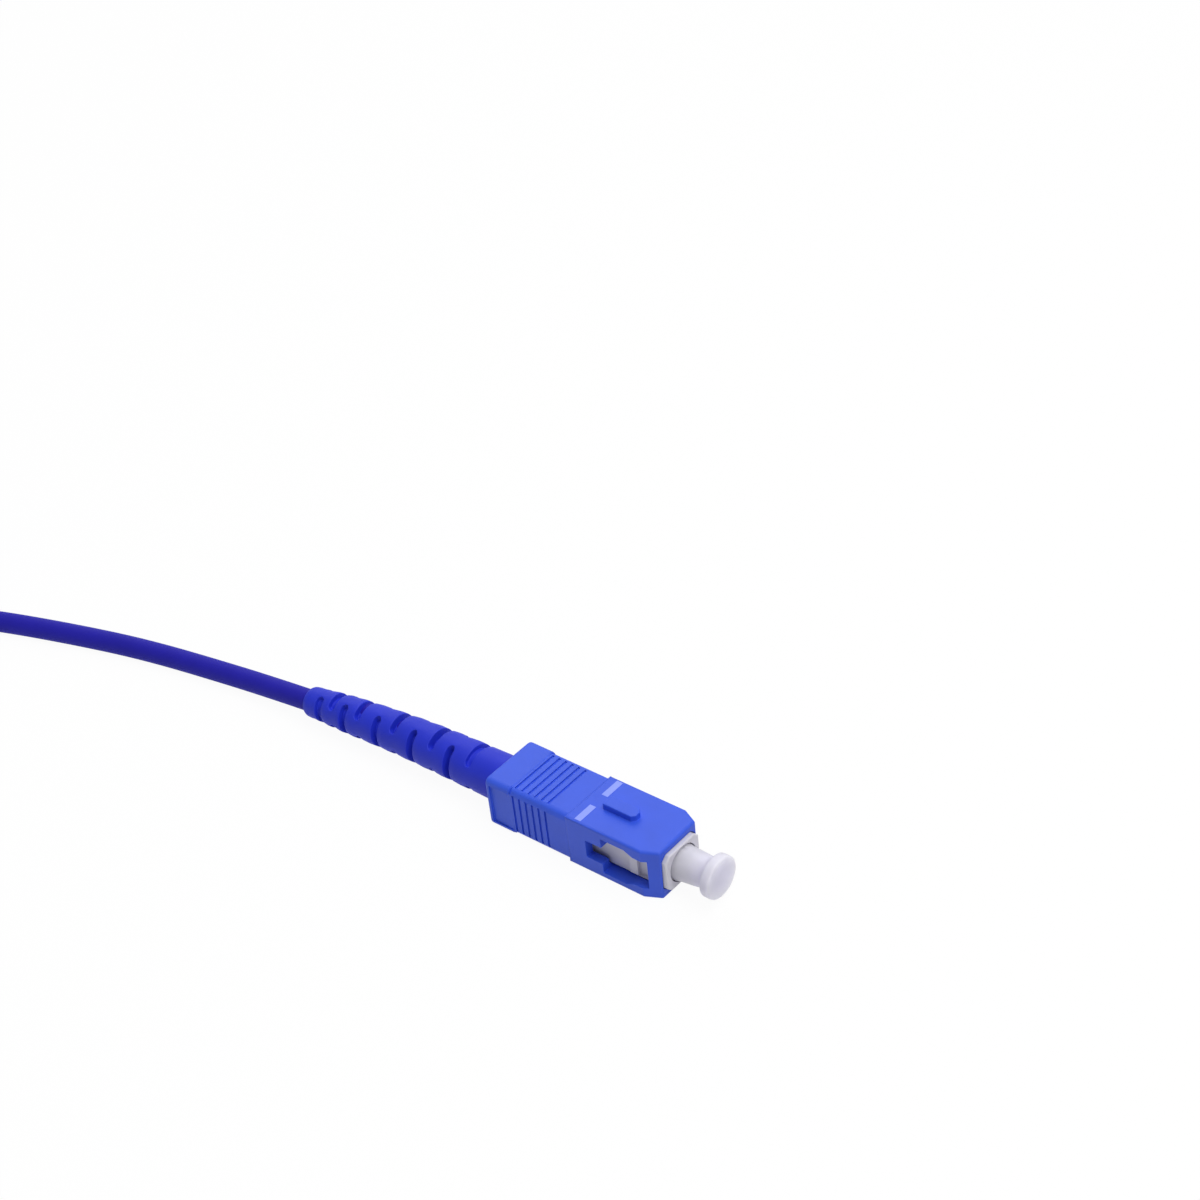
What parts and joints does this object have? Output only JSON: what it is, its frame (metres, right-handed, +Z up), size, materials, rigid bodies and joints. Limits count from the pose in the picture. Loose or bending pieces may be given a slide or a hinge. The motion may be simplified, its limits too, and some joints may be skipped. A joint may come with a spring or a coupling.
{
  "type": "fibre optic patch lead connector",
  "caption": "Square push-pull fibre plug with sliding sleeve, sprung ferrule, boot, dust cap and a tied lead ending in a small latching plug.",
  "frame": {"origin": "on the floor under the middle of the square plug, boot and dust cap together, cord and far plug left out", "axes": "+X along the plug towards its tip, +Y to its left, +Z up out of the face that carries the key"},
  "size_m": [0.2183, 0.0294, 0.015],
  "materials": {
    "sleeve_blue": "satin moulded",
    "frame_white": "moulded",
    "zirconia": "polished ceramic",
    "nickel": "satin",
    "spring_steel": "drawn wire",
    "stop_white": "moulded",
    "crimp_metal": "plated",
    "tube_white": "extruded",
    "buffer_white": "extruded",
    "jacket_blue": "matt extruded",
    "boot_blue": "matt moulded",
    "cap_milky": "translucent moulded",
    "tie_black": "coated strip",
    "lc_blue": "moulded",
    "lc_boot_white": "matt moulded",
    "lc_cap_white": "moulded"
  },
  "bodies": {
    "plug_and_cord": {"plug_frame": "frame_white", "spring_stop": "stop_white", "crimp_sleeve": "crimp_metal", "inner_tube": "tube_white", "buffered_fibre": "buffer_white", "jacket_end": "jacket_blue", "boot": "boot_blue", "ferrule_spring": "spring_steel", "cord_run": "jacket_blue", "cord_coil": "jacket_blue", "coil_tie": "tie_black", "cord_tail": "jacket_blue", "lc_housing": "lc_blue", "lc_rear_body": "lc_blue", "lc_spring": "spring_steel", "lc_buffered_fibre": "buffer_white", "lc_crimp_sleeve": "crimp_metal", "lc_jacket_end": "jacket_blue", "lc_boot": "lc_boot_white"},
    "sleeve": {"coupling_sleeve": "sleeve_blue"},
    "ferrule_group": {"ferrule": "zirconia", "ferrule_flange": "nickel"},
    "cap": {"dust_cap": "cap_milky"},
    "lc_latch_arm": {"lc_latch": "lc_blue"},
    "lc_trigger_clip": {"lc_trigger": "lc_blue"},
    "lc_ferrule_group": {"lc_ferrule": "zirconia", "lc_ferrule_flange": "nickel"},
    "lc_cap": {"lc_dust_cap": "lc_cap_white"}
  },
  "joints": [
    {"name": "sleeve_slide", "type": "slide", "parent": "plug_and_cord", "child": "sleeve", "axis": [1, 0, 0], "range_m": [-0.0016, 0.0004]},
    {"name": "ferrule_press", "type": "slide", "parent": "plug_and_cord", "child": "ferrule_group", "axis": [-1, 0, 0], "range_m": [0, 0.0012], "stiffness_N_per_m": 1200, "springref_m": -0.005, "deforming": ["ferrule_spring"]},
    {"name": "cap_pull", "type": "slide", "parent": "ferrule_group", "child": "cap", "axis": [1, 0, 0], "range_m": [0, 0.0065]},
    {"name": "lc_trigger_press", "type": "hinge", "parent": "plug_and_cord", "child": "lc_trigger_clip", "pos_m": [-0.1322, 0.0005, 0.0119], "axis": [0, 1, 0], "range_deg": [0, 10], "stiffness_Nm_per_rad": 0.004},
    {"name": "lc_latch_flex", "type": "hinge", "parent": "plug_and_cord", "child": "lc_latch_arm", "pos_m": [-0.1153, 0.0005, 0.01151], "axis": [0, -1, 0], "range_deg": [0, 8], "stiffness_Nm_per_rad": 0.004},
    {"name": "lc_ferrule_press", "type": "slide", "parent": "plug_and_cord", "child": "lc_ferrule_group", "axis": [-1, 0, 0], "range_m": [0, 0.001], "stiffness_N_per_m": 900, "springref_m": -0.005, "deforming": ["lc_spring"]},
    {"name": "lc_cap_pull", "type": "slide", "parent": "lc_ferrule_group", "child": "lc_cap", "axis": [1, 0, 0], "range_m": [0, 0.004]}
  ],
  "couplings": [
    {"joint": "lc_latch_flex", "follows": "lc_trigger_press", "ratio": 0.6}
  ]
}
